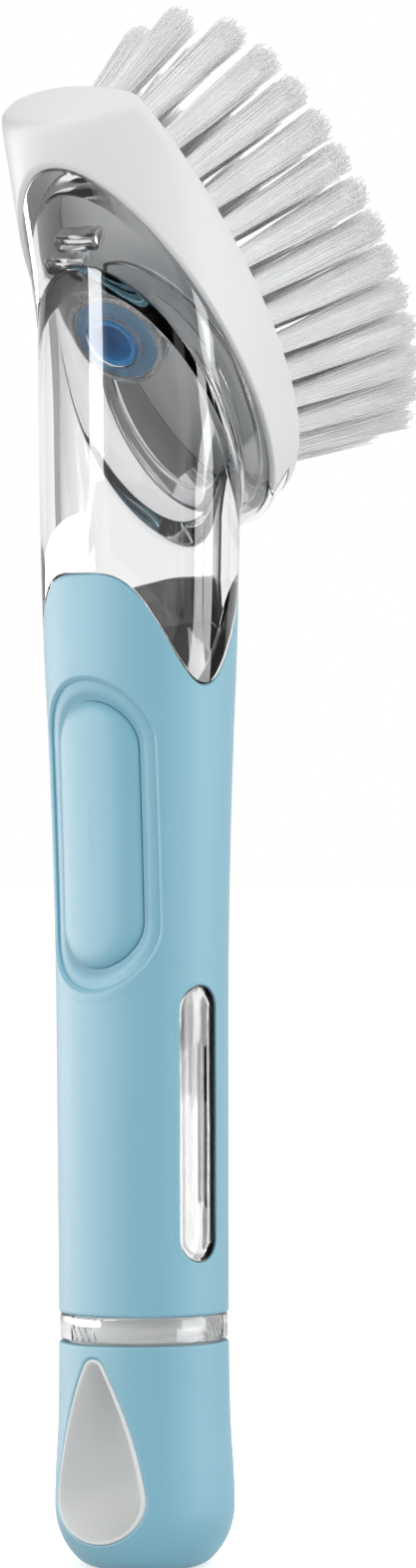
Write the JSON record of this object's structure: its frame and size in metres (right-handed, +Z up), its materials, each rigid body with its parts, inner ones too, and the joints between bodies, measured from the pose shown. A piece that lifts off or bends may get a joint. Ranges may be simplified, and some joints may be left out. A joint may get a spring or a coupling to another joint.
{
  "type": "dish wand",
  "caption": "Soap-dispensing dish wand with a clear reservoir handle, soft blue grip and squeeze button, screw-in end cap with a hang hole, and a tilted clip-on brush head.",
  "frame": {"origin": "middle of the end cap's flat foot, on the handle axis", "axes": "+Z up the handle axis to the brush head, -Y out of the button and through the front of the hang hole, +Y the side that the bristles face"},
  "size_m": [0.0514, 0.0996, 0.2812],
  "materials": {
    "clear": "clear and polished",
    "soft_blue": "satin",
    "hard_blue": "satin",
    "hard_white": "satin",
    "diaphragm": "matte",
    "valve_blue": "gloss",
    "bristle": "satin",
    "anchor_metal": "satin"
  },
  "bodies": {
    "handle": {"reservoir_tube": "clear", "head_carrier": "clear", "grip_sleeve": "soft_blue", "button_well": "hard_blue", "pump_diaphragm": "diaphragm", "diaphragm_clamp": "hard_white", "slit_valve": "valve_blue", "valve_retainer": "clear"},
    "button": {"button_pad": "soft_blue", "button_plunger": "hard_white"},
    "cap_seal": {"cap_gasket": "diaphragm"},
    "cap": {"cap_shell": "soft_blue", "cap_liner": "hard_white"},
    "brush": {"brush_shell": "hard_white", "outer_tufts": "bristle", "inner_tufts": "bristle", "middle_tufts": "bristle", "tuft_anchors": "anchor_metal"}
  },
  "joints": [
    {"name": "button_press", "type": "slide", "parent": "handle", "child": "button", "axis": [0, 1, 0], "range_m": [0, 0.0022], "stiffness_N_per_m": 1500, "deforming": ["pump_diaphragm"]},
    {"name": "cap_drop", "type": "slide", "parent": "handle", "child": "cap_seal", "axis": [0, 0, -1], "range_m": [0, 0.0125]},
    {"name": "cap_turn", "type": "hinge", "parent": "cap_seal", "child": "cap", "pos_m": [0, 0, 0], "axis": [0, 0, -1], "range_deg": [0, 900]},
    {"name": "brush_release", "type": "slide", "parent": "handle", "child": "brush", "axis": [0, 0.7373, 0.6756], "range_m": [0, 0.02]}
  ],
  "couplings": [
    {"joint": "cap_drop", "follows": "cap_turn", "m_per_rad": 0.00079577}
  ]
}
